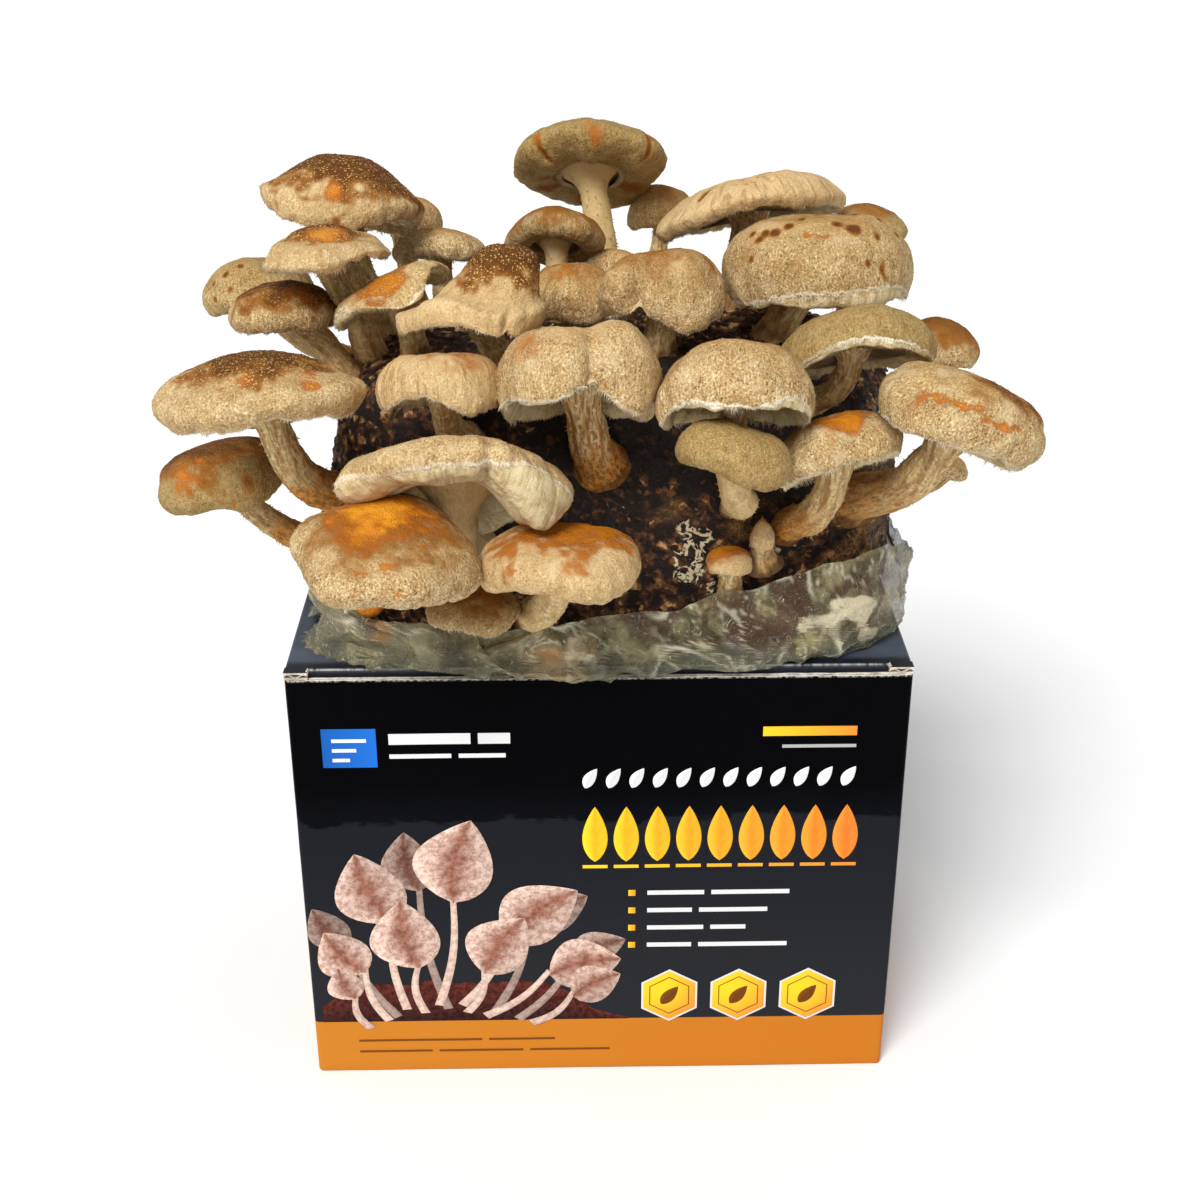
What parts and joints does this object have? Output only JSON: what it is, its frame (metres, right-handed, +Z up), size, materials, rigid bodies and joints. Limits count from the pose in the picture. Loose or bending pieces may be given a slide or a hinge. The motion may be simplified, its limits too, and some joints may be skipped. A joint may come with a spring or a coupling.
{
  "type": "shiitake mushroom grow kit",
  "caption": "Mushrooms growing from a bagged sawdust block that stands on the closed lid of its printed corrugated carton; the torn bag stays round the foot of the block.",
  "frame": {"origin": "centre of the carton's flat underside", "axes": "+Z up, -Y towards the carton's printed front, +X to the right seen from the front"},
  "size_m": [0.3327, 0.2498, 0.3926],
  "materials": {
    "printed_board": "gloss-coated print",
    "lid_board": "gloss-coated dark print",
    "sawdust": "rough, granular, with pale mycelium",
    "film": "thin crinkled translucent film",
    "mushroom": "velvety cap, fibrous stem, matte"
  },
  "bodies": {
    "root": {"carton_body": "printed_board", "carton_lid": "lid_board", "substrate_block": "sawdust", "bag": "film", "mushroom_bagged_1": "mushroom", "mushroom_bagged_2": "mushroom", "mushroom_front_1": "mushroom", "mushroom_front_2": "mushroom", "mushroom_front_3": "mushroom", "mushroom_front_4": "mushroom", "mushroom_front_5": "mushroom", "mushroom_front_6": "mushroom", "mushroom_front_7": "mushroom", "mushroom_front_8": "mushroom", "mushroom_left_1": "mushroom", "mushroom_left_2": "mushroom", "mushroom_left_3": "mushroom", "mushroom_left_4": "mushroom", "mushroom_left_5": "mushroom", "mushroom_left_6": "mushroom", "mushroom_left_7": "mushroom", "mushroom_left_8": "mushroom", "mushroom_pin_1": "mushroom", "mushroom_pin_2": "mushroom", "mushroom_right_1": "mushroom", "mushroom_right_2": "mushroom", "mushroom_right_3": "mushroom", "mushroom_right_4": "mushroom", "mushroom_right_5": "mushroom", "mushroom_top_1": "mushroom", "mushroom_top_10": "mushroom", "mushroom_top_11": "mushroom", "mushroom_top_12": "mushroom", "mushroom_top_2": "mushroom", "mushroom_top_3": "mushroom", "mushroom_top_4": "mushroom", "mushroom_top_5": "mushroom", "mushroom_top_6": "mushroom", "mushroom_top_7": "mushroom", "mushroom_top_8": "mushroom", "mushroom_top_9": "mushroom"}
  },
  "joints": []
}
